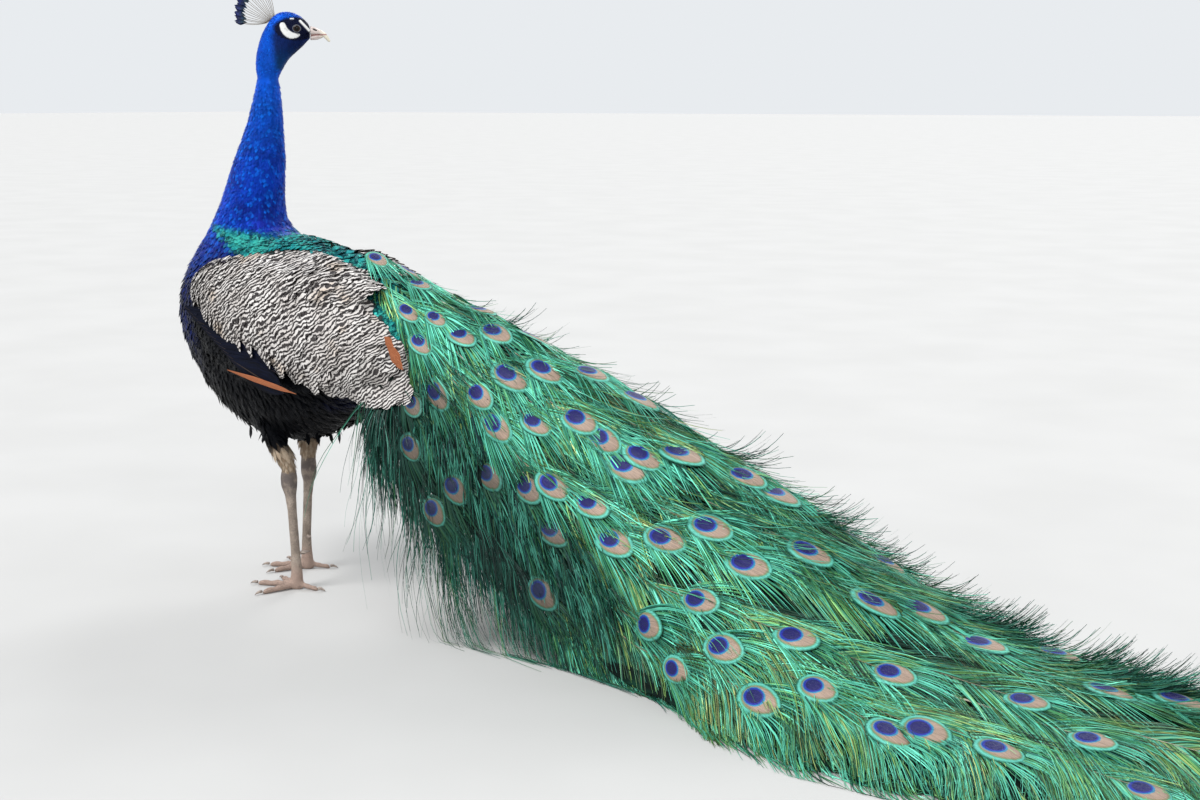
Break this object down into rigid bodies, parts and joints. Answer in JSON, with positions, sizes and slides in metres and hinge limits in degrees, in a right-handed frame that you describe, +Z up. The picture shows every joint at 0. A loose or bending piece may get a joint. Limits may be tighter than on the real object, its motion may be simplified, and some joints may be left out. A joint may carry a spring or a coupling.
{
  "type": "peacock model",
  "caption": "Life-size standing peacock with head turned back, fan crest, folded barred wings and a long eyespotted train trailing to the floor.",
  "frame": {"origin": "middle of the footprint, at floor level", "axes": "+X from the breast toward the tip of the train, +Z up, the bird's left side toward -Y"},
  "size_m": [1.8748, 0.5264, 0.9319],
  "materials": {
    "blue_feathers": "iridescent, close-lying scale feathers",
    "body_feathers": "soft blue-black feathers",
    "barred_feathers": "matte, cream barred with brown-black",
    "flight_feathers": "smooth dark vanes with rufous edges",
    "train_feathers": "iridescent loose barbs and eyespots",
    "tail_feathers": "plain matte vanes",
    "crest_feathers": "bare shafts with webbed tips",
    "thigh_feathers": "short matte feathers",
    "leg_scales": "dry overlapping scales",
    "claw_horn": "worn horn",
    "bill_horn": "smooth horn",
    "eye": "wet"
  },
  "bodies": {
    "root": {"bill_lower": "bill_horn", "bill_upper": "bill_horn", "claw_hind_left": "claw_horn", "claw_hind_right": "claw_horn", "claw_inner_left": "claw_horn", "claw_inner_right": "claw_horn", "claw_middle_left": "claw_horn", "claw_middle_right": "claw_horn", "claw_outer_left": "claw_horn", "claw_outer_right": "claw_horn", "crest": "crest_feathers", "eye_left": "eye", "eye_right": "eye", "flight_feathers_left": "flight_feathers", "flight_feathers_right": "flight_feathers", "foot_left": "leg_scales", "foot_right": "leg_scales", "head": "blue_feathers", "neck_lower": "blue_feathers", "neck_upper": "blue_feathers", "shank_left": "leg_scales", "shank_right": "leg_scales", "spur_left": "claw_horn", "spur_right": "claw_horn", "tail": "tail_feathers", "thigh_left": "thigh_feathers", "thigh_right": "thigh_feathers", "train_fore_left": "train_feathers", "train_fore_right": "train_feathers", "train_middle_left": "train_feathers", "train_middle_right": "train_feathers", "train_rear": "train_feathers", "trunk": "body_feathers", "wing_left": "barred_feathers", "wing_right": "barred_feathers"}
  },
  "joints": []
}
